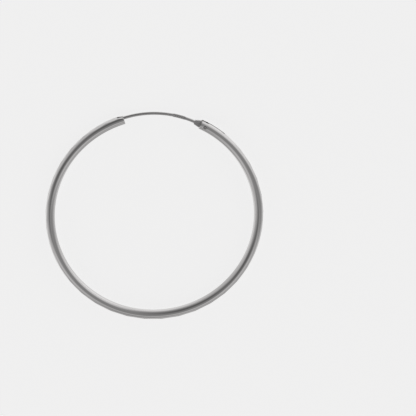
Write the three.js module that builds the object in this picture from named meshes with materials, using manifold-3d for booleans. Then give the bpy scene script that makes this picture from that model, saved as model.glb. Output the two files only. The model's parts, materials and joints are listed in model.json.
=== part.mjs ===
// Hinged hoop earring: a hollow silver tube bent to a circle and diamond cut round its outer side.
// A thin ear wire, hinged on a rivet in one end of the tube, closes the gap to the other end.
// Millimetres, +Z up. The hoop lies flat on the floor, with its axis along Z and its gap towards +Y.
// The origin is on the floor, under the middle of the hoop's footprint.

import * as THREE from 'three';
import { mergeVertices } from 'three/addons/utils/BufferGeometryUtils.js';
import Module from 'manifold-3d';

// Driving dimensions of the tube, whose section is a slight oval: its width runs outward and its
// height along the hoop's axis. Angles are in degrees round the hoop from +X.
const hoopOutside = 45;
const tubeWidth = 2;
const tubeHeight = 2.2;
const tubeWall = 0.3;
const hingeEndAngle = 64.2;
const openEndAngle = 107;

// Diamond cuts: a middle row of flats along the outer side of the tube, and a row on either side
// that is tilted away from it and interlocks with it
const facetsPerTurn = 39;
const middleFacetDepth = 0.14;
const sideFacetDepth = 0.09;
const sideFacetTilt = 22;
const smoothAtHinge = 4.2;

// Slanting cut across the outer side of the open end, deepest at the end, where the wire enters
const slantLength = 2.2;
const slantDepth = 0.5;

// Ear wire: a round wire bent a little tighter than the hoop. It leaves the fan on the tube's
// centreline and reaches the open end outside it, and both offsets count outward.
const wireDiameter = 0.6;
const wireTightening = 1.6;
const wireOffsetAtFan = -0.04;
const wireOffsetAtTip = 0.27;
const wireInsertion = 1;
const openingAngle = 70;

// Flattened hinge end of the ear wire, a fan outside the tube and a tongue inside it. The fan is
// widest at the tube and ends square at its neck, where the round wire begins.
const tabThickness = 0.8;
const fanWidth = 1.45;
const fanLength = 1.2;
const neckWidth = 0.85;

// Rivet through the tube and the tongue
const pinDiameter = 0.55;
const pinInset = 1;
const pinSetback = 0.03;

// Clearances
const tongueClearance = 0.06;
const pinClearance = 0.05;
const slotClearance = 0.07;
const shoulderGap = 0.08;
const notchClearance = 0.1;
const notchEndClearance = 0.3;

// Faceting of the round forms, and how far a cutter reaches past the flat that it leaves
const tubeSides = 20;
const boreSides = 12;
const stepsPerFacet = 3;
const boreSteps = 78;
const cutterMargin = 1.3;
const wireSides = 12;
const wireSteps = 24;
const pinSides = 20;

// Sizes that follow from these
const hoopRadius = (hoopOutside - tubeWidth) / 2;
const boreWidth = tubeWidth - 2 * tubeWall;
const boreHeight = tubeHeight - 2 * tubeWall;
const wireRadius = wireDiameter / 2;
const pinRadius = pinDiameter / 2;
const boreAtTab = (boreWidth / 2) * Math.sqrt(1 - (tabThickness / boreHeight) ** 2);
const tongueHalfWidth = boreAtTab - tongueClearance;
const pinAngle = hingeEndAngle - degreesAlong(pinInset);
const wireTipAngle = openEndAngle + degreesAlong(wireInsertion);
const shoulder = pinInset + shoulderGap;
const neck = shoulder + fanLength;

const silver = { color: 0xc8c8ca, metalness: 1, roughness: 0.12 };

const wasm = await Module();
wasm.setup();

// Angle round the hoop, in degrees, of a length along the tube's centreline
function degreesAlong(length) {
  return THREE.MathUtils.radToDeg(length / hoopRadius);
}

// A closed three.js geometry as a solid that can be joined and cut
function solidOf(geometry) {
  geometry.deleteAttribute('normal');
  geometry.deleteAttribute('uv');
  const merged = mergeVertices(geometry);
  const vertProperties = new Float32Array(merged.attributes.position.array);
  const triVerts = new Uint32Array(merged.index.array);
  return new wasm.Manifold(new wasm.Mesh({ numProp: 3, vertProperties, triVerts }));
}

// A finished solid as a named mesh with its own material
function meshOf(name, solid, finish) {
  const { vertProperties, triVerts } = solid.getMesh();
  const geometry = new THREE.BufferGeometry();
  geometry.setAttribute('position', new THREE.BufferAttribute(vertProperties, 3));
  geometry.setIndex(new THREE.BufferAttribute(triVerts, 1));
  geometry.computeVertexNormals();
  const mesh = new THREE.Mesh(geometry, new THREE.MeshStandardMaterial(finish));
  mesh.name = name;
  return mesh;
}

// Places a geometry on the tube's centreline: its X turns outward and its Y round the hoop
function placeOnHoop(geometry, angle) {
  return geometry.translate(hoopRadius, 0, 0).rotateZ(THREE.MathUtils.degToRad(angle));
}

// A box between two corners
function boxBetween(low, high) {
  const size = new THREE.Vector3().subVectors(high, low);
  const centre = new THREE.Vector3().addVectors(high, low).multiplyScalar(0.5);
  return new THREE.BoxGeometry(size.x, size.y, size.z).translate(centre.x, centre.y, centre.z);
}

// A whole ring of oval section, with flats at its top, bottom, inner and outer side
function ring(width, height, sides, steps) {
  const cornerScale = 0.5 / Math.cos(Math.PI / sides);
  const section = [];
  for (let i = 0; i <= sides; i += 1) {
    const angle = ((i + 0.5) * 2 * Math.PI) / sides;
    const outward = hoopRadius + width * cornerScale * Math.cos(angle);
    section.push(new THREE.Vector2(outward, height * cornerScale * Math.sin(angle)));
  }
  return solidOf(new THREE.LatheGeometry(section, steps).rotateX(Math.PI / 2));
}

// The wedge of the hoop that the gap takes away, with radial sides
function gapWedge() {
  const reach = hoopOutside;
  const start = THREE.MathUtils.degToRad(hingeEndAngle);
  const end = THREE.MathUtils.degToRad(openEndAngle);
  const wedge = new THREE.Shape();
  wedge.moveTo(0, 0);
  wedge.lineTo(reach * Math.cos(start), reach * Math.sin(start));
  wedge.absarc(0, 0, reach, start, end);
  wedge.closePath();
  const depth = tubeHeight * 2;
  const block = new THREE.ExtrudeGeometry(wedge, { depth, bevelEnabled: false });
  return solidOf(block.translate(0, 0, -depth / 2));
}

// One flat of the diamond cutting, as the block of metal that the cutter takes away. A plane that
// cuts this deep into a circle leaves a flat of twice the root of diameter times depth.
function facetCutter(angle, tilt, depth) {
  const turn = THREE.MathUtils.degToRad(tilt);
  const surface = Math.hypot(tubeWidth * Math.cos(turn), tubeHeight * Math.sin(turn)) / 2;
  const length = 2 * cutterMargin * Math.sqrt(hoopOutside * depth);
  const width = 2 * cutterMargin * Math.sqrt(tubeHeight * depth);
  const block = new THREE.BoxGeometry(tubeWidth, length, width);
  block.translate(surface - depth + tubeWidth / 2, 0, 0).rotateY(-turn);
  return solidOf(placeOnHoop(block, angle));
}

// The three rows of flats, from the stretch that is left smooth at the hinge round to the open end.
// The middle row sits half a pitch further on than the two side rows.
function facetCutters() {
  const pitch = 360 / facetsPerTurn;
  const halfFlat = degreesAlong(Math.sqrt(hoopOutside * sideFacetDepth));
  const firstAngle = hingeEndAngle - degreesAlong(smoothAtHinge) - halfFlat;
  const count = Math.floor((firstAngle + 360 - openEndAngle) / pitch) + 1;
  const rows = [
    { first: firstAngle - pitch / 2, tilt: 0, depth: middleFacetDepth },
    { first: firstAngle, tilt: sideFacetTilt, depth: sideFacetDepth },
    { first: firstAngle, tilt: -sideFacetTilt, depth: sideFacetDepth },
  ];
  const cutters = [];
  for (const { first, tilt, depth } of rows) {
    for (let i = 0; i < count; i += 1) {
      cutters.push(facetCutter(first - i * pitch, tilt, depth));
    }
  }
  return wasm.Manifold.union(cutters);
}

// Slot in the outer wall at the hinge end, through which the tongue swings out. It runs past the
// pin far enough to clear the tongue's back edge when the ear wire is fully open.
function hingeSlot() {
  const open = THREE.MathUtils.degToRad(openingAngle);
  const backEdge = tongueHalfWidth * Math.sin(open)
    - (boreAtTab - tongueHalfWidth * Math.cos(open)) / Math.tan(open);
  const halfWidth = tabThickness / 2 + slotClearance;
  const low = new THREE.Vector3(0, -backEdge - slotClearance, -halfWidth);
  const high = new THREE.Vector3(tubeWidth, pinInset + tubeWidth, halfWidth);
  return solidOf(placeOnHoop(boxBetween(low, high), pinAngle));
}

// Block that leaves the slanting flat at the open end. The tube's outer side already curves in by
// outerDrop over the cut's length.
function slantCutter() {
  const outerRadius = hoopOutside / 2;
  const outerDrop = outerRadius - Math.sqrt(outerRadius ** 2 - slantLength ** 2);
  const low = new THREE.Vector3(0, -tubeWidth, -tubeHeight);
  const high = new THREE.Vector3(tubeWidth, 2 * slantLength, tubeHeight);
  const block = boxBetween(low, high).rotateZ(-Math.atan((slantDepth - outerDrop) / slantLength));
  block.translate(tubeWidth / 2 - slantDepth, 0, 0);
  return solidOf(placeOnHoop(block, openEndAngle));
}

// Notch in the outer wall at the open end, through which the wire's tip snaps in and out
function wireNotch() {
  const halfWidth = wireRadius + notchClearance;
  const low = new THREE.Vector3(0, -tubeWidth, -halfWidth);
  const high = new THREE.Vector3(tubeWidth, wireInsertion + notchEndClearance, halfWidth);
  return solidOf(placeOnHoop(boxBetween(low, high), openEndAngle));
}

// A round bar along Z through the hinge, for the rivet and for its holes
function hingeBar(radius, length) {
  const bar = new THREE.CylinderGeometry(radius, radius, length, pinSides).rotateX(Math.PI / 2);
  return solidOf(placeOnHoop(bar, pinAngle));
}

function hoopTube() {
  return ring(tubeWidth, tubeHeight, tubeSides, facetsPerTurn * stepsPerFacet)
    .subtract(facetCutters())
    .subtract(ring(boreWidth, boreHeight, boreSides, boreSteps))
    .subtract(gapWedge())
    .subtract(hingeSlot())
    .subtract(slantCutter())
    .subtract(wireNotch())
    .subtract(hingeBar(pinRadius + pinClearance, tubeHeight * 2));
}

function hingePin() {
  return hingeBar(pinRadius, tubeHeight - 2 * pinSetback);
}

// A point in the hoop's plane, at an angle round it and an offset outward from the centreline
function pointOnHoop(angle, offset) {
  const turn = THREE.MathUtils.degToRad(angle);
  const radius = hoopRadius + offset;
  return new THREE.Vector2(radius * Math.cos(turn), radius * Math.sin(turn));
}

// The ear wire's centreline, an arc of its own bend radius through two points
class WireArc extends THREE.Curve {
  constructor(start, end, bendRadius) {
    super();
    const chord = new THREE.Vector2().subVectors(end, start);
    const inward = new THREE.Vector2(-chord.y, chord.x).normalize();
    const rise = Math.sqrt(bendRadius ** 2 - chord.lengthSq() / 4);
    this.centre = new THREE.Vector2().addVectors(start, end).multiplyScalar(0.5);
    this.centre.addScaledVector(inward, rise);
    this.startAngle = Math.atan2(start.y - this.centre.y, start.x - this.centre.x);
    this.endAngle = Math.atan2(end.y - this.centre.y, end.x - this.centre.x);
    this.bendRadius = bendRadius;
  }

  getPoint(t, target = new THREE.Vector3()) {
    const angle = THREE.MathUtils.lerp(this.startAngle, this.endAngle, t);
    const x = this.centre.x + this.bendRadius * Math.cos(angle);
    const y = this.centre.y + this.bendRadius * Math.sin(angle);
    return target.set(x, y, 0);
  }
}

// Round wire from inside the fan to its rounded tip in the open end of the tube
function roundWire() {
  const start = pointOnHoop(pinAngle + degreesAlong(neck - wireRadius), wireOffsetAtFan);
  const end = pointOnHoop(wireTipAngle, wireOffsetAtTip);
  const arc = new WireArc(start, end, hoopRadius - wireTightening);
  const section = new THREE.Shape().absarc(0, 0, wireRadius, 0, 2 * Math.PI);
  const options = { steps: wireSteps, curveSegments: wireSides, extrudePath: arc };
  const tipCentre = arc.getPoint(1);
  const tip = new THREE.SphereGeometry(wireRadius, wireSides, wireSides / 2);
  tip.rotateX(Math.PI / 2).translate(tipCentre.x, tipCentre.y, tipCentre.z);
  return solidOf(new THREE.ExtrudeGeometry(section, options)).add(solidOf(tip));
}

// The tab seen along the hoop's axis: the eye round the pin, the tongue, the shoulder and the fan
function tabPlan() {
  const neckRadius = hoopRadius + wireOffsetAtFan;
  const neckMiddle = neckRadius * Math.cos(Math.asin(neck / neckRadius)) - hoopRadius;
  const plan = new THREE.Shape();
  plan.moveTo(tongueHalfWidth, 0);
  plan.lineTo(tongueHalfWidth, shoulder);
  plan.lineTo(fanWidth / 2, shoulder);
  plan.lineTo(neckMiddle + neckWidth / 2, neck);
  plan.lineTo(neckMiddle - neckWidth / 2, neck);
  plan.lineTo(-fanWidth / 2, shoulder);
  plan.lineTo(-tongueHalfWidth, shoulder);
  plan.lineTo(-tongueHalfWidth, 0);
  plan.absarc(0, 0, tongueHalfWidth, Math.PI, 2 * Math.PI);
  const options = { depth: tabThickness, curveSegments: pinSides / 2, bevelEnabled: false };
  return new THREE.ExtrudeGeometry(plan, options).translate(0, 0, -tabThickness / 2);
}

// The tab seen from inside the hoop: full thickness to the shoulder, then tapered to the wire
function tabSide() {
  const reach = tubeWidth;
  const side = new THREE.Shape();
  side.moveTo(tabThickness, -reach);
  side.lineTo(tabThickness / 2, shoulder);
  side.lineTo(wireRadius, neck);
  side.lineTo(-wireRadius, neck);
  side.lineTo(-tabThickness / 2, shoulder);
  side.lineTo(-tabThickness, -reach);
  side.closePath();
  return new THREE.ExtrudeGeometry(side, { depth: 2 * reach, bevelEnabled: false })
    .translate(0, 0, -reach)
    .rotateY(Math.PI / 2);
}

function earWire() {
  const tab = solidOf(placeOnHoop(tabPlan(), pinAngle))
    .intersect(solidOf(placeOnHoop(tabSide(), pinAngle)))
    .subtract(hingeBar(pinRadius + pinClearance, tubeHeight));
  return roundWire().add(tab);
}

const earring = new THREE.Group();
earring.add(meshOf('hoop_tube', hoopTube(), silver));
earring.add(meshOf('ear_wire', earWire(), silver));
earring.add(meshOf('hinge_pin', hingePin(), silver));

// Stands the hoop on the floor and centres its footprint on the origin
const extent = new THREE.Box3().setFromObject(earring);
const footprint = extent.getCenter(new THREE.Vector3());
earring.position.set(-footprint.x, -footprint.y, -extent.min.z);

export default earring;
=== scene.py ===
"""Looks of a hinged hoop earring: diamond-cut silver tube, ear wire and rivet, in a pale studio."""

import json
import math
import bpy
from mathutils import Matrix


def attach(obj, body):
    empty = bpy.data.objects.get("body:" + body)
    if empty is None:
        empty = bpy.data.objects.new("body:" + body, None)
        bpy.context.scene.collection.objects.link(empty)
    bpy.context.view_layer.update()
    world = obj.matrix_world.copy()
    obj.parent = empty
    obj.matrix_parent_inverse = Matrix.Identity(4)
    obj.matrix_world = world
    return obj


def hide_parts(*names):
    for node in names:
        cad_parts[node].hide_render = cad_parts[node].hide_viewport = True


bl_info = {
    "name": "Hinged hoop earring",
    "version": (1, 0, 0),
    "blender": (4, 5, 0),
    "location": "3D Viewport > Sidebar > Earring",
    "description": "Builds a diamond-cut hoop earring with its hinged ear wire, and the studio it lies in",
    "category": "Add Mesh",
}

import bmesh
import bpy
from bpy.props import FloatProperty, FloatVectorProperty, IntProperty, PointerProperty
from mathutils import Matrix, Vector

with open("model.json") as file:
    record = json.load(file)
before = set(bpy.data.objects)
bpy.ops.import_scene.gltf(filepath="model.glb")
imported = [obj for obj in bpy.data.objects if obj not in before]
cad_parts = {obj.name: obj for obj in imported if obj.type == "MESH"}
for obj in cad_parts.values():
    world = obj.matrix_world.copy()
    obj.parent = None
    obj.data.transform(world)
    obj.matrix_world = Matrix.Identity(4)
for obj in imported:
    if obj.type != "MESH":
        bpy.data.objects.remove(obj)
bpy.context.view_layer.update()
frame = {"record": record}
MM = 0.001

# The rivet stands where the ear wire's joint is, and the hoop's centre follows from it
PIN = Vector(frame["record"]["behaviour"]["joints"][0]["pos_m"])

# Facets of the round forms
TUBE_SIDES = 72
BORE_SIDES = 36
BORE_STEPS = 100
STEPS_PER_FLAT = 12
WIRE_SIDES = 28
WIRE_STEPS = 220
WIRE_TIP_STEPS = 7
TONGUE_STEPS = 12
TAB_EDGE_STEPS = 3
RIVET_SIDES = 40
RIVET_RIM_STEPS = 4

# The tube's end edges are rounded in steps, each inward and along by a share of the rounding. Corners of
# the rim that lie closer than the last share are merged first.
ROUNDING_STEPS = ((0.13, 0.5), (0.37, 0.37), (0.5, 0.13))
RIM_MERGE = 0.4

# Tolerances of the cuts and of the weld between the spans of tube
FLAT_TOLERANCE = 1e-6 * MM
TRIM_TOLERANCE = 1e-5 * MM
WELD = 2e-4 * MM

# Rounding of the tab's and the rivet's edges, and the angle from which an edge of the tab counts as sharp
TAB_ROUNDING = 0.07 * MM
TAB_SHARP_ANGLE = math.radians(50)
TAB_SMOOTH_AREA = 0.2 * MM * MM
RIVET_ROUNDING = 0.09 * MM
TIP_ROUNDNESS = 0.97

# The stamped stretch of wire and its plain dimples
STAMP_RAMP = 0.35 * MM
STAMP_THINNING = 0.7
DIMPLES = 5
DIMPLE_HALF_LENGTH = 0.15 * MM
DIMPLE_HALF_WIDTH = 0.17 * MM
DIMPLE_DEPTH = 0.07 * MM

# Unevenness of the silver: fine lines, marks of handling and a broad haze. Each has a seed, and a share of
# the roughness that it adds or takes away.
LINE_STRETCH = 14
LINE_SEED, LINE_SHINE = 3.1, 0.3
HANDLING_LENGTH, HANDLING_WIDTH = 1.3 * MM, 0.9 * MM
HANDLING_SEED, HANDLING_SHINE, HANDLING_RELIEF = 7.7, 0.4, 1.5
HAZE_LENGTH, HAZE_WIDTH = 5.5 * MM, 2.5 * MM
HAZE_SEED, HAZE_SHINE = 1.9, 0.5
NOISE_ROUGHNESS = 0.55

# The painted dark reflection on the tube: a dark line painted into the colour where the smooth stretch
# mirrors dark. Then the hammered fan
PAINTED_REFLECTION_COLOUR = (0.02, 0.02, 0.02, 1)
REFLECTION_LINE_END_FADE = 0.3 * MM
REFLECTION_LINE_SIDE_FADE = 0.03 * MM
HAMMERED_FADE = 0.1 * MM
HAMMERED_ROUGHNESS = 0.3

# Floor: half its side in metres, how bright it shows by itself and how much light it takes, and its grain
FLOOR_REACH = 3
FLOOR_GLOW = 0.861
FLOOR_SHADE = 0.42
FLOOR_GRAIN, FLOOR_GRAIN_SCALE = 0.01, 900.0

# Light from all sides, and soft pools that add to it or dim it. A pool's strength is full within its
# inner angle of a direction and fades to nothing at the outer. Azimuth and polar angle, in degrees,
# give the direction: 0 is right and 90 is up in the picture, and the polar angle is from the view.
LAMP_COLOUR = (1, 0.987, 0.989, 1)
EVEN_LIGHT = 0.71
DIMMEST_LIGHT = 0.02
LIGHT_POOLS = (
    # strength, azimuth, polar angle, inner, outer
    (-0.47, 10, 28, 27, 104),
    (0.36, 32, 81, 0, 47),
    (-0.22, 142, 60, 15, 73),
    (-0.20, -131, 69, 30, 58),
    (-0.90, -86, 94, 20, 56),
    (0.79, -86, 85, 23, 53),
    (0.07, 80, 75, 25, 70),
    (-0.11, 0, 125, 0, 40),
    (-0.14, 140, 125, 0, 25),
    (-0.08, -80, 100, 0, 40),
)


class HoopSizes(bpy.types.PropertyGroup):
    """Sizes of the tube and of its diamond cuts"""

    radius: FloatProperty(
        name="Centreline radius",
        description="From the hoop's axis to the middle of the tube",
        default=21.5 * MM, unit="LENGTH")
    width: FloatProperty(
        name="Tube width", description="Width of the tube's section, outward", default=2 * MM, unit="LENGTH")
    height: FloatProperty(
        name="Tube height", description="Height of the tube's section, along the hoop's axis",
        default=2.2 * MM, unit="LENGTH")
    wall: FloatProperty(
        name="Wall", description="Thickness of the tube's wall", default=0.3 * MM, unit="LENGTH")
    hinge_end: FloatProperty(
        name="Hinge end", description="Angle of the tube's end at the hinge",
        default=math.radians(64.2), subtype="ANGLE")
    open_end: FloatProperty(
        name="Open end", description="Angle of the tube's end that the wire snaps into",
        default=math.radians(107), subtype="ANGLE")
    flats_per_turn: IntProperty(
        name="Flats per turn", description="Diamond cuts that a whole turn of one row would hold", default=39)
    middle_depth: FloatProperty(
        name="Middle cut depth", description="Depth of the middle row of flats",
        default=0.14 * MM, unit="LENGTH")
    side_depth: FloatProperty(
        name="Side cut depth", description="Depth of the two side rows of flats",
        default=0.09 * MM, unit="LENGTH")
    side_tilt: FloatProperty(
        name="Side tilt", description="Tilt of the side rows away from the middle row",
        default=math.radians(22), subtype="ANGLE")
    smooth_at_hinge: FloatProperty(
        name="Smooth stretch", description="Length left without flats at the hinge end",
        default=4.2 * MM, unit="LENGTH")
    edge_round: FloatProperty(
        name="End rounding", description="Rounding of the edges at the tube's two ends",
        default=0.07 * MM, unit="LENGTH")
    slant_length: FloatProperty(
        name="Slant length", description="Length of the slanting cut across the outer side of the open end",
        default=2.2 * MM, unit="LENGTH")
    slant_depth: FloatProperty(
        name="Slant depth", description="Depth of the slanting cut at the very end",
        default=0.5 * MM, unit="LENGTH")


class WireSizes(bpy.types.PropertyGroup):
    """Sizes of the ear wire, its flattened hinge end and the rivet"""

    diameter: FloatProperty(
        name="Wire diameter", description="Thickness of the round wire", default=0.6 * MM, unit="LENGTH")
    tightening: FloatProperty(
        name="Tighter bend", description="How much tighter the wire is bent than the hoop",
        default=1.6 * MM, unit="LENGTH")
    offset_at_fan: FloatProperty(
        name="Offset at the fan", description="How far outside the tube's centreline the wire leaves the fan",
        default=-0.04 * MM, unit="LENGTH")
    offset_at_tip: FloatProperty(
        name="Offset at the tip", description="How far outside the tube's centreline the wire ends",
        default=0.27 * MM, unit="LENGTH")
    insertion: FloatProperty(
        name="Insertion", description="Length of wire inside the open end", default=1 * MM, unit="LENGTH")
    tab_thickness: FloatProperty(
        name="Tab thickness", description="Thickness of the fan and tongue along the rivet",
        default=0.8 * MM, unit="LENGTH")
    tongue_width: FloatProperty(
        name="Tongue width", description="Width of the tongue inside the tube",
        default=1.09 * MM, unit="LENGTH")
    fan_width: FloatProperty(
        name="Fan width", description="Width of the fan at its shoulder", default=1.45 * MM, unit="LENGTH")
    fan_length: FloatProperty(
        name="Fan length", description="From the shoulder to the neck", default=1.2 * MM, unit="LENGTH")
    neck_width: FloatProperty(
        name="Neck width", description="Width of the fan's square end, where the round wire begins",
        default=0.85 * MM, unit="LENGTH")
    shoulder: FloatProperty(
        name="Shoulder", description="From the rivet to the fan's shoulder", default=1.08 * MM, unit="LENGTH")
    pin_diameter: FloatProperty(
        name="Rivet diameter", description="Thickness of the rivet", default=0.55 * MM, unit="LENGTH")
    pin_inset: FloatProperty(
        name="Rivet inset", description="From the tube's end to the rivet", default=1 * MM, unit="LENGTH")
    pin_setback: FloatProperty(
        name="Rivet setback", description="How far each rivet end lies below the tube's height",
        default=0.03 * MM, unit="LENGTH")
    clearance: FloatProperty(
        name="Hinge clearance", description="Gap round the rivet", default=0.05 * MM, unit="LENGTH")
    slot_width: FloatProperty(
        name="Slot width", description="Width of the hinge slot in the tube's outer wall",
        default=0.94 * MM, unit="LENGTH")
    slot_depth: FloatProperty(
        name="Slot past the rivet", description="How far the hinge slot runs past the rivet",
        default=0.44 * MM, unit="LENGTH")
    notch_width: FloatProperty(
        name="Notch width", description="Width of the notch in the open end", default=0.8 * MM, unit="LENGTH")
    notch_depth: FloatProperty(
        name="Notch depth", description="Length of the notch along the tube", default=1.3 * MM, unit="LENGTH")
    stamp_start: FloatProperty(
        name="Stamp start", description="Angle at which the flattened, dimpled stretch of wire starts",
        default=math.radians(73.6), subtype="ANGLE")
    stamp_end: FloatProperty(
        name="Stamp end", description="Angle at which the flattened stretch of wire ends",
        default=math.radians(79.6), subtype="ANGLE")
    stamp_spread: FloatProperty(
        name="Stamp spread", description="How much wider the stamped stretch is", default=0.2)


class SilverFinish(bpy.types.PropertyGroup):
    """Colour and polish of the silver, and the painted dark reflection on the tube"""

    tube_colour: FloatVectorProperty(
        name="Tube silver", description="Colour of the polished tube", size=3, subtype="COLOR",
        default=(0.86, 0.855, 0.85), min=0, max=1)
    wire_colour: FloatVectorProperty(
        name="Wire silver", description="Colour of the drawn wire", size=3, subtype="COLOR",
        default=(0.68, 0.675, 0.67), min=0, max=1)
    rivet_colour: FloatVectorProperty(
        name="Rivet silver", description="Colour of the peened rivet", size=3, subtype="COLOR",
        default=(0.62, 0.615, 0.61), min=0, max=1)
    tube_roughness: FloatProperty(
        name="Tube roughness", description="Roughness of the polished tube", default=0.11, min=0, max=1)
    wire_roughness: FloatProperty(
        name="Wire roughness", description="Roughness of the drawn wire", default=0.28, min=0, max=1)
    rivet_roughness: FloatProperty(
        name="Rivet roughness", description="Roughness of the peened rivet", default=0.28, min=0, max=1)
    # The dark line placed by these four settings is a painted dark reflection: a near-black line painted
    # along the outer side of the smooth stretch, where the tube mirrors dark
    reflection_line_start: FloatProperty(
        name="Reflection line start",
        description="From the hinge end to the dark line along the smooth stretch",
        default=1.5 * MM, unit="LENGTH")
    reflection_line_end: FloatProperty(
        name="Reflection line end", description="From the hinge end to the far end of the dark line",
        default=5.1 * MM, unit="LENGTH")
    reflection_line_place: FloatProperty(
        name="Reflection line place", description="How far above the tube's outermost line the dark line lies",
        default=0.07 * MM, unit="LENGTH")
    reflection_line_width: FloatProperty(
        name="Reflection line width", description="Width of the dark line", default=0.36 * MM, unit="LENGTH")
    line_spacing: FloatProperty(
        name="Polishing lines", description="Spacing of the fine lines across the tube",
        default=0.16 * MM, unit="LENGTH")


class StudioLook(bpy.types.PropertyGroup):
    """Floor, light and camera"""

    floor_colour: FloatVectorProperty(
        name="Floor", description="Colour that the pale floor shows", size=3, subtype="COLOR",
        default=(0.863, 0.863, 0.863), min=0, max=1)
    camera_tilt: FloatProperty(
        name="Camera tilt", description="Angle between the camera's view and the hoop's axis",
        default=math.radians(17.2), subtype="ANGLE")
    camera_lean: FloatProperty(
        name="Camera lean", description="How far the camera leans from the gap's side towards -X",
        default=math.radians(10.65), subtype="ANGLE")
    camera_roll: FloatProperty(
        name="Camera roll", description="Turn of the picture about the view", default=math.radians(10.84),
        subtype="ANGLE")
    camera_distance: FloatProperty(
        name="Camera distance", description="From the hoop's centre", default=1188.8 * MM, unit="LENGTH")
    camera_aim: FloatVectorProperty(
        name="Camera aim", description="How far right of and above the hoop's centre the camera looks",
        size=2, default=(11.009 * MM, 1.439 * MM), unit="LENGTH")
    lens: FloatProperty(name="Lens", description="Focal length in millimetres", default=500)


# Places and shapes

def pin_angle(hoop, wire):
    """Angle of the rivet round the hoop."""
    return hoop.hinge_end - wire.pin_inset / hoop.radius


def hoop_centre(hoop, wire):
    """Centre of the hoop, which the joint's place gives."""
    angle = pin_angle(hoop, wire)
    return PIN - hoop.radius * Vector((math.cos(angle), math.sin(angle), 0))


def onto_hoop(hoop, angle):
    """Places a shape on the tube's centreline, its X turned outward and its Y round the hoop."""
    return Matrix.Rotation(angle, 4, "Z") @ Matrix.Translation((hoop.radius, 0, 0))


def coordinate_start(hoop):
    """Angle opposite the middle of the gap, from which lengths round the hoop are counted."""
    return (hoop.hinge_end + hoop.open_end) / 2 - math.pi


def along_hoop(hoop, angle):
    """Length round the hoop at an angle, as the materials count it."""
    return (angle - coordinate_start(hoop)) * hoop.radius


def everything(bm):
    """All vertices, edges and faces of a bmesh."""
    return [*bm.verts, *bm.edges, *bm.faces]


def move(bm, matrix, verts=None):
    """Moves a bmesh, or some of its vertices, by a matrix."""
    bmesh.ops.transform(bm, matrix=matrix, verts=bm.verts[:] if verts is None else verts)


def face_outward(bm):
    """Turns the faces of a closed shape outward."""
    bmesh.ops.recalc_face_normals(bm, faces=bm.faces[:])
    if bm.calc_volume(signed=True) < 0:
        bmesh.ops.reverse_faces(bm, faces=bm.faces[:])


def tube_section(bm, radius, width, height, sides, cap=False):
    """An oval section of the tube, standing in the XZ plane."""
    made = bmesh.ops.create_circle(bm, cap_ends=cap, radius=0.5, segments=sides)["verts"]
    stand = Matrix.Rotation(math.radians(90), 4, "X") @ Matrix.Diagonal((width, height, 1, 1))
    move(bm, Matrix.Translation((radius, 0, 0)) @ stand, made)
    return made


def bent_span(radius, width, height, sides, start, end, steps, capped):
    """A length of tube between two angles, as a bmesh."""
    bm = bmesh.new()
    tube_section(bm, radius, width, height, sides, capped)
    move(bm, Matrix.Rotation(start, 4, "Z"))
    bmesh.ops.spin(bm, geom=everything(bm), cent=(0, 0, 0), axis=(0, 0, 1), angle=end - start, steps=steps)
    face_outward(bm)
    for face in bm.faces:
        face.smooth = True
    return bm


def plane_flat(bm, hoop, angle, tilt, depth):
    """Planes one flat off the tube and closes the cut with a single flat face."""
    turn = Matrix.Rotation(angle, 3, "Z")
    outward = turn @ Vector((math.cos(tilt), 0, math.sin(tilt)))
    surface = math.hypot(hoop.width * math.cos(tilt), hoop.height * math.sin(tilt)) / 2
    point = turn @ Vector((hoop.radius, 0, 0)) + (surface - depth) * outward
    cut = bmesh.ops.bisect_plane(
        bm, geom=everything(bm), dist=FLAT_TOLERANCE, plane_co=point, plane_no=outward, clear_outer=True)
    edges = [part for part in cut["geom_cut"] if isinstance(part, bmesh.types.BMEdge)]
    for face in bmesh.ops.edgeloop_fill(bm, edges=edges)["faces"]:
        face.smooth = False


def cut_span(hoop, place, steps_before, steps_after, low, high, middles, sides):
    """Tube with its flats between two angles, open at both ends. It is made longer, then trimmed."""
    step = 2 * math.pi / hoop.flats_per_turn / STEPS_PER_FLAT
    bm = bent_span(
        hoop.radius, hoop.width, hoop.height, TUBE_SIDES, place - steps_before * step,
        place + steps_after * step, steps_before + steps_after, True)
    for angle in middles:
        plane_flat(bm, hoop, angle, 0, hoop.middle_depth)
    for angle in sides:
        plane_flat(bm, hoop, angle, hoop.side_tilt, hoop.side_depth)
        plane_flat(bm, hoop, angle, -hoop.side_tilt, hoop.side_depth)
    for angle, sign in ((low, -1), (high, 1)):
        bmesh.ops.bisect_plane(
            bm, geom=everything(bm), dist=TRIM_TOLERANCE, plane_co=(0, 0, 0), clear_outer=True,
            plane_no=(-sign * math.sin(angle), sign * math.cos(angle), 0))
    return bm


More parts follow.
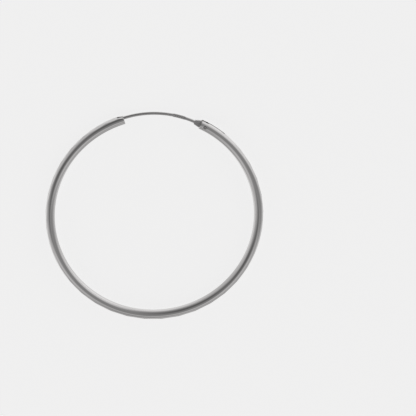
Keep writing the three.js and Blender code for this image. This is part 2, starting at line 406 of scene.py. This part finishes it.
def hoop_shell(hoop):
    """The outside of the tube with its flats, as a closed bmesh round the hoop's axis."""
    pitch = 2 * math.pi / hoop.flats_per_turn
    step = pitch / STEPS_PER_FLAT
    half_flat = math.sqrt((2 * hoop.radius + hoop.width) * hoop.side_depth) / hoop.radius
    close = hoop.hinge_end + 2 * math.pi
    last = close - hoop.smooth_at_hinge / hoop.radius - half_flat
    flats = math.floor((last - hoop.open_end) / pitch)
    first = last - flats * pitch
    reach = STEPS_PER_FLAT * 3 // 2
    back = hoop.edge_round / hoop.radius

    # One flat's length of tube, repeated round the hoop
    bm = cut_span(
        hoop, first, reach, reach + STEPS_PER_FLAT, first, first + pitch,
        [first + (i - 0.5) * pitch for i in range(3)], [first, first + pitch])
    bmesh.ops.spin(
        bm, geom=everything(bm), cent=(0, 0, 0), axis=(0, 0, 1), angle=(flats - 1) * pitch,
        steps=flats - 1, use_duplicate=True)

    # The open end, where the flats run out, and the smooth stretch at the hinge
    before = math.ceil((first - hoop.open_end) / step) + 2
    after = math.ceil((close - last) / step) + 2
    pour(cut_span(
        hoop, first, before, reach, hoop.open_end + back, first,
        [first - pitch / 2, first + pitch / 2], [first]), bm)
    pour(cut_span(hoop, last, reach, after, last, close - back, [last - pitch / 2], [last]), bm)
    bmesh.ops.remove_doubles(bm, verts=bm.verts[:], dist=WELD)

    # The two ends are closed, and stepped in to round their edges
    rims = [vert for vert in bm.verts if vert.is_boundary]
    bmesh.ops.remove_doubles(bm, verts=rims, dist=RIM_MERGE * hoop.edge_round)
    open_edges = [edge for edge in bm.edges if edge.is_boundary]
    caps = bmesh.ops.holes_fill(bm, edges=open_edges)["faces"]
    face_outward(bm)
    for inward, along in ROUNDING_STEPS:
        rim = bmesh.ops.inset_region(
            bm, faces=caps, thickness=inward * hoop.edge_round, depth=along * hoop.edge_round,
            use_boundary=True, use_even_offset=True)["faces"]
        for face in rim:
            face.smooth = True
    for face in caps:
        face.smooth = False
    return bm


def pour(source, target):
    """Adds one bmesh to another."""
    mesh = bpy.data.meshes.new("poured")
    source.to_mesh(mesh)
    source.free()
    target.from_mesh(mesh)
    bpy.data.meshes.remove(mesh)


def box_cutter(low, high):
    """A box between two corners, as a bmesh."""
    bm = bmesh.new()
    bmesh.ops.create_cube(bm, size=1)
    low, high = Vector(low), Vector(high)
    move(bm, Matrix.Translation((low + high) / 2) @ Matrix.Diagonal((*(high - low), 1)))
    return bm


def rod(radius, length, sides):
    """A closed rod along Z, as a bmesh."""
    bm = bmesh.new()
    bmesh.ops.create_cone(
        bm, cap_ends=True, cap_tris=False, segments=sides, radius1=radius, radius2=radius, depth=length)
    return bm


def piece_from(bm, name):
    """Makes an object of a bmesh."""
    mesh = bpy.data.meshes.new(name)
    bm.to_mesh(mesh)
    bm.free()
    piece = bpy.data.objects.new(name, mesh)
    bpy.context.scene.collection.objects.link(piece)
    return piece


def boolean(piece, bm, operation):
    """Joins a bmesh to a piece or cuts it away, and keeps the result as the piece's mesh."""
    tool = piece_from(bm, "tool")
    change = piece.modifiers.new("change", "BOOLEAN")
    change.operation = operation
    change.solver = "EXACT"
    change.object = tool
    graph = bpy.context.evaluated_depsgraph_get()
    mesh = bpy.data.meshes.new_from_object(piece.evaluated_get(graph))
    if not mesh.polygons:
        raise RuntimeError("The " + operation.lower() + " left nothing of " + piece.name)
    piece.modifiers.clear()
    old = piece.data
    piece.data = mesh
    mesh.name = piece.name
    bpy.data.meshes.remove(old)
    tool_mesh = tool.data
    bpy.data.objects.remove(tool)
    bpy.data.meshes.remove(tool_mesh)


def stamp(bm, low, high, spread):
    """Widens a stretch of the straight wire between two lengths, thins it and dimples its top."""
    for vert in bm.verts:
        x, y, z = vert.co
        amount = min(1, max(0, (y - low) / STAMP_RAMP + 1)) * min(1, max(0, (high - y) / STAMP_RAMP + 1))
        amount = amount * amount * (3 - 2 * amount)
        x *= 1 + spread * amount
        z *= 1 - STAMP_THINNING * spread * amount
        if z > 0:
            for i in range(DIMPLES):
                middle = low + (i + 0.5) / DIMPLES * (high - low)
                away = math.hypot((y - middle) / DIMPLE_HALF_LENGTH, x / DIMPLE_HALF_WIDTH)
                z -= DIMPLE_DEPTH * max(0, 1 - away * away)
        vert.co = (x, y, z)


def bent_wire(hoop, wire):
    """The round wire from inside the fan to its rounded tip, as a bmesh."""
    angle = pin_angle(hoop, wire)
    radius = wire.diameter / 2
    start_along = wire.shoulder + wire.fan_length - radius

    # The wire's own arc, through a point inside the fan and the tip's centre
    ends = []
    for turn, offset in (
            (angle + start_along / hoop.radius, wire.offset_at_fan),
            (hoop.open_end + wire.insertion / hoop.radius, wire.offset_at_tip)):
        ends.append((hoop.radius + offset) * Vector((math.cos(turn), math.sin(turn))))
    bend = hoop.radius - wire.tightening
    chord = ends[1] - ends[0]
    inward = Vector((-chord.y, chord.x)).normalized()
    centre = (ends[0] + ends[1]) / 2 + inward * math.sqrt(bend ** 2 - chord.length_squared / 4)
    start = math.atan2(ends[0].y - centre.y, ends[0].x - centre.x)
    length = 2 * bend * math.asin(chord.length / 2 / bend) + radius

    # Straight wire along Y with a rounded tip, then its stamped stretch, then the bend
    bm = rod(radius, length, WIRE_SIDES)
    move(bm, Matrix.Translation((0, length / 2, 0)) @ Matrix.Rotation(math.radians(-90), 4, "X"))
    tip = [edge for edge in bm.edges if all(vert.co.y > length - radius for vert in edge.verts)]
    bmesh.ops.bevel(
        bm, geom=tip, offset=radius * TIP_ROUNDNESS, offset_type="OFFSET", segments=WIRE_TIP_STEPS,
        profile=0.5, affect="EDGES", material=-1)
    lengthwise = [edge for edge in bm.edges if abs(edge.verts[0].co.y - edge.verts[1].co.y) > length / 2]
    bmesh.ops.subdivide_edges(bm, edges=lengthwise, cuts=WIRE_STEPS, use_grid_fill=True)
    for face in bm.faces:
        face.smooth = True
    low, high = ((turn - angle) * hoop.radius - start_along for turn in (wire.stamp_start, wire.stamp_end))
    stamp(bm, low, high, wire.stamp_spread)
    for vert in bm.verts:
        x, y, z = vert.co
        turn = start + y / bend
        vert.co = (centre.x + (bend + x) * math.cos(turn), centre.y + (bend + x) * math.sin(turn), z)
    return bm


def hinge_tab(hoop, wire):
    """The flattened end with its fan, shoulder and tongue, as a bmesh with the rivet at its origin."""
    neck_radius = hoop.radius + wire.offset_at_fan
    neck = wire.shoulder + wire.fan_length
    neck_middle = neck_radius * math.cos(math.asin(neck / neck_radius)) - hoop.radius
    fan, tongue = wire.fan_width / 2, wire.tongue_width / 2

    # Outline seen along the hoop's axis: up one side, down the other and round the tongue's end
    side = [(tongue, 0), (tongue, wire.shoulder), (fan, wire.shoulder)]
    for share in (0.5, 1):
        half = fan + (wire.neck_width / 2 - fan) * share
        side.append((half, wire.shoulder + share * wire.fan_length))
    outline = []
    for sign, rows in ((1, side), (-1, reversed(side))):
        for half, along in rows:
            shift = neck_middle * max(0, along - wire.shoulder) / wire.fan_length
            outline.append((shift + sign * half, along))
    for i in range(1, TONGUE_STEPS):
        turn = math.pi + math.pi * i / TONGUE_STEPS
        outline.append((tongue * math.cos(turn), tongue * math.sin(turn)))
    bm = bmesh.new()
    face = bm.faces.new([bm.verts.new((x, y, -wire.tab_thickness / 2)) for x, y in outline])
    made = bmesh.ops.extrude_face_region(bm, geom=[face])["geom"]
    top = [part for part in made if isinstance(part, bmesh.types.BMVert)]
    bmesh.ops.translate(bm, vec=(0, 0, wire.tab_thickness), verts=top)
    face_outward(bm)

    # The fan thins to the wire's thickness, and sharp edges are rounded
    for vert in bm.verts:
        share = max(0, vert.co.y - wire.shoulder) / wire.fan_length
        vert.co.z *= 1 + (wire.diameter / wire.tab_thickness - 1) * share
    rim = [edge for edge in bm.edges if abs(edge.calc_face_angle(0)) > TAB_SHARP_ANGLE]
    bmesh.ops.bevel(
        bm, geom=rim, offset=TAB_ROUNDING, offset_type="OFFSET", segments=TAB_EDGE_STEPS, profile=0.5,
        affect="EDGES", material=-1)
    for face in bm.faces:
        face.smooth = face.calc_area() < TAB_SMOOTH_AREA
    return bm


def finish_piece(piece, material, body, node):
    """Gives a piece its finish, hangs it under the body that moves it and hides the solid that it stands for.
    """
    piece.data.materials.clear()
    piece.data.materials.append(material)
    for polygon in piece.data.polygons:
        polygon.material_index = 0
    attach(piece, body)
    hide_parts(node)


# Materials

class Value:
    """A shader socket that can be reckoned with like a number."""

    def __init__(self, tree, socket):
        self.tree = tree
        self.socket = socket

    def _math(self, operation, *values):
        return node(self.tree, "ShaderNodeMath", values, operation=operation)

    def __add__(self, other):
        return self._math("ADD", self, other)

    def __radd__(self, other):
        return self._math("ADD", other, self)

    def __sub__(self, other):
        return self._math("SUBTRACT", self, other)

    def __rsub__(self, other):
        return self._math("SUBTRACT", other, self)

    def __mul__(self, other):
        return self._math("MULTIPLY", self, other)

    def __rmul__(self, other):
        return self._math("MULTIPLY", other, self)

    def __truediv__(self, other):
        return self._math("DIVIDE", self, other)


def node(tree, kind, values=(), output=0, **settings):
    """Adds a node: its settings first, then the values or links of its sockets. Returns one output."""
    made = tree.nodes.new(kind)
    for key, setting in settings.items():
        setattr(made, key, setting)
    pairs = values.items() if isinstance(values, dict) else enumerate(values)
    for key, value in pairs:
        if isinstance(value, Value):
            tree.links.new(value.socket, made.inputs[key])
        elif value is not None:
            made.inputs[key].default_value = value
    return Value(tree, made.outputs[output]) if len(made.outputs) else None


def blend(tree, share, first, second):
    """A mix of two colours, by a share from 0 to 1."""
    return node(
        tree, "ShaderNodeMix", {0: share, 6: first, 7: second}, output=2, data_type="RGBA")


def hoop_coordinates(tree, hoop, centre):
    """Length round the hoop and round the tube's section, in metres, as two values."""
    place = node(tree, "ShaderNodeTexCoord", output="Object")
    centred = node(tree, "ShaderNodeVectorMath", (place, centre), operation="SUBTRACT")
    turned = node(
        tree, "ShaderNodeVectorRotate", {"Vector": centred, "Angle": -coordinate_start(hoop)},
        rotation_type="Z_AXIS")
    split = tree.nodes.new("ShaderNodeSeparateXYZ")
    tree.links.new(turned.socket, split.inputs[0])
    x, y, z = (Value(tree, socket) for socket in split.outputs)
    around = node(tree, "ShaderNodeMath", (y, x), operation="ARCTAN2") * hoop.radius
    reach = node(tree, "ShaderNodeMath", (x * x + y * y, 0.5), operation="POWER") - hoop.radius
    section = node(tree, "ShaderNodeMath", (z, reach), operation="ARCTAN2") * (hoop.width / 2)
    return around, section


def streaks(tree, around, section, along, across, detail, seed):
    """Noise drawn out in one direction, from 0 to 1. Along and across are lengths in metres."""
    place = node(
        tree, "ShaderNodeCombineXYZ", (around * (1 / along), section * (1 / across), seed))
    return node(
        tree, "ShaderNodeTexNoise",
        {"Vector": place, "Scale": 1.0, "Detail": detail, "Roughness": NOISE_ROUGHNESS})


def within(tree, value, middle, half, soft):
    """1 within a distance of a middle value, fading softly to 0 outside it."""
    away = node(tree, "ShaderNodeMath", (value - middle,), operation="ABSOLUTE")
    return node(
        tree, "ShaderNodeMapRange",
        {"Value": away, "From Min": half + soft, "From Max": half, "To Min": 0.0, "To Max": 1.0},
        interpolation_type="SMOOTHSTEP", clamp=True)


def silver(
        name, colour, roughness, hoop, centre, spacing, depth, across, tarnish, painted_reflection=None, hammered=None):
    """Polished silver with fine lines and a little unevenness in its shine.

    The lines have a spacing and a depth, and run across the tube or along it. Tarnish darkens the haze.
    The silver can have a painted dark reflection, which is a near-black line painted where the tube mirrors
    dark, and a hammered stretch with less shine.
    """
    material = bpy.data.materials.new(name)
    material.use_nodes = True
    tree = material.node_tree
    tree.nodes.clear()
    around, section = hoop_coordinates(tree, hoop, centre)
    length, width = spacing * LINE_STRETCH, spacing
    if across:
        length, width = width, length
    fine = streaks(tree, around, section, length, width, 2, LINE_SEED)
    handling = streaks(tree, around, section, HANDLING_LENGTH, HANDLING_WIDTH, 3, HANDLING_SEED)
    haze = streaks(tree, around, section, HAZE_LENGTH, HAZE_WIDTH, 2, HAZE_SEED)
    shine = roughness + (haze - 0.5) * (HAZE_SHINE * roughness)
    shine = shine + (handling - 0.5) * (HANDLING_SHINE * roughness) + (fine - 0.5) * (LINE_SHINE * roughness)
    if hammered:
        shine = shine + within(tree, around, *hammered, HAMMERED_FADE) * HAMMERED_ROUGHNESS
    dull = [channel * (1 - tarnish) for channel in colour]
    tone = blend(tree, haze, (*dull, 1), (*colour, 1))
    # Painted dark reflection: the colour turns near-black in a line along the tube's outer side, standing in
    # for the dark that the smooth stretch mirrors
    if painted_reflection:
        length, place = painted_reflection
        mark = within(tree, around, *length, REFLECTION_LINE_END_FADE) * within(tree, section, *place, REFLECTION_LINE_SIDE_FADE)
        tone = blend(tree, mark, tone, PAINTED_REFLECTION_COLOUR)
    relief = node(
        tree, "ShaderNodeBump",
        {"Strength": 1.0, "Distance": depth, "Height": fine + handling * HANDLING_RELIEF})
    shader = node(
        tree, "ShaderNodeBsdfPrincipled",
        {"Base Color": tone, "Metallic": 1.0, "Roughness": shine, "Normal": relief})
    node(tree, "ShaderNodeOutputMaterial", {"Surface": shader})
    return material


# Operators

class EARRING_OT_hoop(bpy.types.Operator):
    """Builds the bent tube with its three rows of diamond cuts, hinge slot, slanting cut and notch"""

    bl_idname = "earring.hoop"
    bl_label = "Diamond-cut hoop"

    def execute(self, context):
        hoop, wire, finish = context.scene.hoop, context.scene.ear_wire, context.scene.silver_finish
        piece = piece_from(hoop_shell(hoop), "diamond_cut_hoop")
        gap = hoop.open_end - hoop.hinge_end
        close = hoop.open_end + 2 * math.pi - gap
        past = hoop.wall / hoop.radius
        bore = bent_span(
            hoop.radius, hoop.width - 2 * hoop.wall, hoop.height - 2 * hoop.wall, BORE_SIDES,
            hoop.open_end - past, close + past, BORE_STEPS, True)
        boolean(piece, bore, "DIFFERENCE")

        angle = pin_angle(hoop, wire)
        slot = box_cutter(
            (0, -wire.slot_depth, -wire.slot_width / 2),
            (hoop.width, 3 * wire.pin_inset, wire.slot_width / 2))
        move(slot, onto_hoop(hoop, angle))
        boolean(piece, slot, "DIFFERENCE")
        outside = hoop.radius + hoop.width / 2
        drop = outside - math.sqrt(outside ** 2 - hoop.slant_length ** 2)
        lean = math.atan((hoop.slant_depth - drop) / hoop.slant_length)
        slant = box_cutter(
            (0, -hoop.width, -hoop.height), (hoop.width, 2 * hoop.slant_length, hoop.height))
        move(slant, Matrix.Rotation(-lean, 4, "Z"))
        move(slant, Matrix.Translation((hoop.width / 2 - hoop.slant_depth, 0, 0)))
        move(slant, onto_hoop(hoop, hoop.open_end))
        boolean(piece, slant, "DIFFERENCE")
        notch = box_cutter(
            (0, -hoop.width, -wire.notch_width / 2), (hoop.width, wire.notch_depth, wire.notch_width / 2))
        move(notch, onto_hoop(hoop, hoop.open_end))
        boolean(piece, notch, "DIFFERENCE")
        hole = rod(wire.pin_diameter / 2 + wire.clearance, 2 * hoop.height, RIVET_SIDES)
        move(hole, onto_hoop(hoop, angle))
        boolean(piece, hole, "DIFFERENCE")

        centre = hoop_centre(hoop, wire)
        piece.data.transform(Matrix.Translation(centre))
        end = along_hoop(hoop, hoop.hinge_end)
        # Length and place of the painted dark reflection along the smooth stretch's outer side
        painted_reflection = (
            (end - (finish.reflection_line_start + finish.reflection_line_end) / 2, (finish.reflection_line_end - finish.reflection_line_start) / 2),
            (finish.reflection_line_place, finish.reflection_line_width / 2))
        material = silver(
            "polished_silver", finish.tube_colour, finish.tube_roughness, hoop, centre,
            spacing=finish.line_spacing, depth=0.0006 * MM, across=True, tarnish=0.06, painted_reflection=painted_reflection)
        finish_piece(piece, material, "hoop", "hoop_tube")
        return {"FINISHED"}


class EARRING_OT_ear_wire(bpy.types.Operator):
    """Builds the bent wire with its stamped stretch, and its fan, tongue and eye"""

    bl_idname = "earring.ear_wire"
    bl_label = "Ear wire"

    def execute(self, context):
        hoop, wire, finish = context.scene.hoop, context.scene.ear_wire, context.scene.silver_finish
        angle = pin_angle(hoop, wire)
        piece = piece_from(bent_wire(hoop, wire), "hinged_ear_wire")
        tab = hinge_tab(hoop, wire)
        move(tab, onto_hoop(hoop, angle))
        boolean(piece, tab, "UNION")
        eye = rod(wire.pin_diameter / 2 + wire.clearance, hoop.height, RIVET_SIDES)
        move(eye, onto_hoop(hoop, angle))
        boolean(piece, eye, "DIFFERENCE")

        centre = hoop_centre(hoop, wire)
        piece.data.transform(Matrix.Translation(centre))
        fan_middle = along_hoop(hoop, angle) + wire.shoulder + wire.fan_length / 2
        material = silver(
            "drawn_silver", finish.wire_colour, finish.wire_roughness, hoop, centre,
            spacing=0.05 * MM, depth=0.0012 * MM, across=False, tarnish=0.12,
            hammered=(fan_middle, wire.fan_length / 2))
        finish_piece(piece, material, "wire", "ear_wire")
        return {"FINISHED"}


class EARRING_OT_rivet(bpy.types.Operator):
    """Builds the hinge's rivet with peened ends"""

    bl_idname = "earring.rivet"
    bl_label = "Rivet"

    def execute(self, context):
        hoop, wire, finish = context.scene.hoop, context.scene.ear_wire, context.scene.silver_finish
        length = hoop.height - 2 * wire.pin_setback
        bm = rod(wire.pin_diameter / 2, length, RIVET_SIDES)
        rims = [edge for edge in bm.edges if abs(edge.verts[0].co.z - edge.verts[1].co.z) < length / 2]
        bmesh.ops.bevel(
            bm, geom=rims, offset=RIVET_ROUNDING, offset_type="OFFSET", segments=RIVET_RIM_STEPS,
            profile=0.5, affect="EDGES", material=-1)
        for face in bm.faces:
            face.smooth = True
        move(bm, Matrix.Translation(PIN))
        piece = piece_from(bm, "hinge_rivet")
        material = silver(
            "peened_silver", finish.rivet_colour, finish.rivet_roughness, hoop, hoop_centre(hoop, wire),
            spacing=0.08 * MM, depth=0.003 * MM, across=True, tarnish=0.2)
        finish_piece(piece, material, "hoop", "hinge_pin")
        return {"FINISHED"}


class EARRING_OT_studio(bpy.types.Operator):
    """Lays the pale floor, lights the studio softly and places the camera"""

    bl_idname = "earring.studio"
    bl_label = "Studio"

    def execute(self, context):
        scene = context.scene
        hoop, wire, look = scene.hoop, scene.ear_wire, scene.studio_look
        centre = hoop_centre(hoop, wire)
        turn = (
            Matrix.Rotation(look.camera_lean, 3, "Z")
            @ Matrix.Rotation(-look.camera_tilt, 3, "X")
            @ Matrix.Rotation(-look.camera_roll, 3, "Z"))
        right, up, back = turn.col
        camera = bpy.data.objects.new("camera", bpy.data.cameras.new("camera"))
        scene.collection.objects.link(camera)
        camera.data.lens = look.lens
        camera.data.clip_start, camera.data.clip_end = 0.05, 20
        eye = centre + look.camera_aim[0] * right + look.camera_aim[1] * up + look.camera_distance * back
        camera.matrix_world = Matrix.Translation(eye) @ turn.to_4x4()
        scene.camera = camera
        scene.view_settings.view_transform = "Standard"

        # Floor that shows its own pale colour and takes a faint shadow
        bm = bmesh.new()
        bmesh.ops.create_grid(bm, x_segments=1, y_segments=1, size=FLOOR_REACH)
        floor = piece_from(bm, "studio_floor")
        material = bpy.data.materials.new("pale_floor")
        material.use_nodes = True
        tree = material.node_tree
        tree.nodes.clear()
        paper = node(tree, "ShaderNodeTexCoord", output="Object")
        grain = node(
            tree, "ShaderNodeTexNoise", {"Vector": paper, "Scale": FLOOR_GRAIN_SCALE, "Detail": 2.0})
        lit = FLOOR_SHADE + (grain - 0.5) * FLOOR_GRAIN
        shader = node(
            tree, "ShaderNodeBsdfPrincipled",
            {"Base Color": blend(tree, lit, (0, 0, 0, 1), (1, 1, 1, 1)),
             "Roughness": 1.0, "Specular IOR Level": 0.0,
             "Emission Color": (*look.floor_colour, 1), "Emission Strength": FLOOR_GLOW})
        node(tree, "ShaderNodeOutputMaterial", {"Surface": shader})
        floor.data.materials.append(material)
        floor.visible_glossy = False

        # Soft studio that the silver mirrors, behind a plain pale backdrop
        world = bpy.data.worlds.new("studio")
        scene.world = world
        world.use_nodes = True
        tree = world.node_tree
        tree.nodes.clear()
        toward = node(tree, "ShaderNodeTexCoord", output="Generated")

        def pool(azimuth, polar, inner, outer):
            """1 within the inner angle of a direction from the camera's view, fading to 0 at the outer."""
            azimuth, polar = math.radians(azimuth), math.radians(polar)
            axis = (
                math.sin(polar) * math.cos(azimuth) * right + math.sin(polar) * math.sin(azimuth) * up
                + math.cos(polar) * back)
            near = node(
                tree, "ShaderNodeVectorMath", (toward, axis), output="Value", operation="DOT_PRODUCT")
            return node(
                tree, "ShaderNodeMapRange",
                {"Value": near, "From Min": math.cos(math.radians(outer)),
                 "From Max": math.cos(math.radians(inner)), "To Min": 0.0, "To Max": 1.0},
                interpolation_type="SMOOTHSTEP", clamp=True)

        light = EVEN_LIGHT
        for strength, azimuth, polar, inner, outer in LIGHT_POOLS:
            light = light + strength * pool(azimuth, polar, inner, outer)
        light = node(tree, "ShaderNodeMath", (light, DIMMEST_LIGHT), operation="MAXIMUM")
        seen = node(tree, "ShaderNodeLightPath", output="Is Camera Ray")
        lamp = node(tree, "ShaderNodeBackground", {"Color": LAMP_COLOUR, "Strength": light})
        backdrop = node(tree, "ShaderNodeBackground", {"Color": (*look.floor_colour, 1), "Strength": 1.0})
        mixed = node(tree, "ShaderNodeMixShader", (seen, lamp, backdrop))
        node(tree, "ShaderNodeOutputWorld", {"Surface": mixed})
        return {"FINISHED"}


class EARRING_PT_panel(bpy.types.Panel):
    """Lists the steps that build the earring"""

    bl_idname = "EARRING_PT_panel"
    bl_label = "Hoop earring"
    bl_space_type = "VIEW_3D"
    bl_region_type = "UI"
    bl_category = "Earring"

    def draw(self, context):
        for operator in OPERATORS:
            self.layout.operator(operator.bl_idname)
        for group in SETTINGS:
            box = self.layout.box()
            settings = getattr(context.scene, group)
            for name in settings.bl_rna.properties.keys():
                if name not in ("rna_type", "name"):
                    box.prop(settings, name)


SETTINGS = {
    "hoop": HoopSizes,
    "ear_wire": WireSizes,
    "silver_finish": SilverFinish,
    "studio_look": StudioLook,
}
OPERATORS = (EARRING_OT_studio, EARRING_OT_hoop, EARRING_OT_ear_wire, EARRING_OT_rivet)


def register():
    for cls in (*SETTINGS.values(), *OPERATORS, EARRING_PT_panel):
        bpy.utils.register_class(cls)
    for name, cls in SETTINGS.items():
        setattr(bpy.types.Scene, name, PointerProperty(type=cls))


def unregister():
    for name in SETTINGS:
        delattr(bpy.types.Scene, name)
    for cls in (EARRING_PT_panel, *reversed(OPERATORS), *reversed(SETTINGS.values())):
        bpy.utils.unregister_class(cls)


def main():
    register()
    bpy.ops.earring.studio()
    bpy.ops.earring.hoop()
    bpy.ops.earring.ear_wire()
    bpy.ops.earring.rivet()


if __name__ == "__main__":
    main()
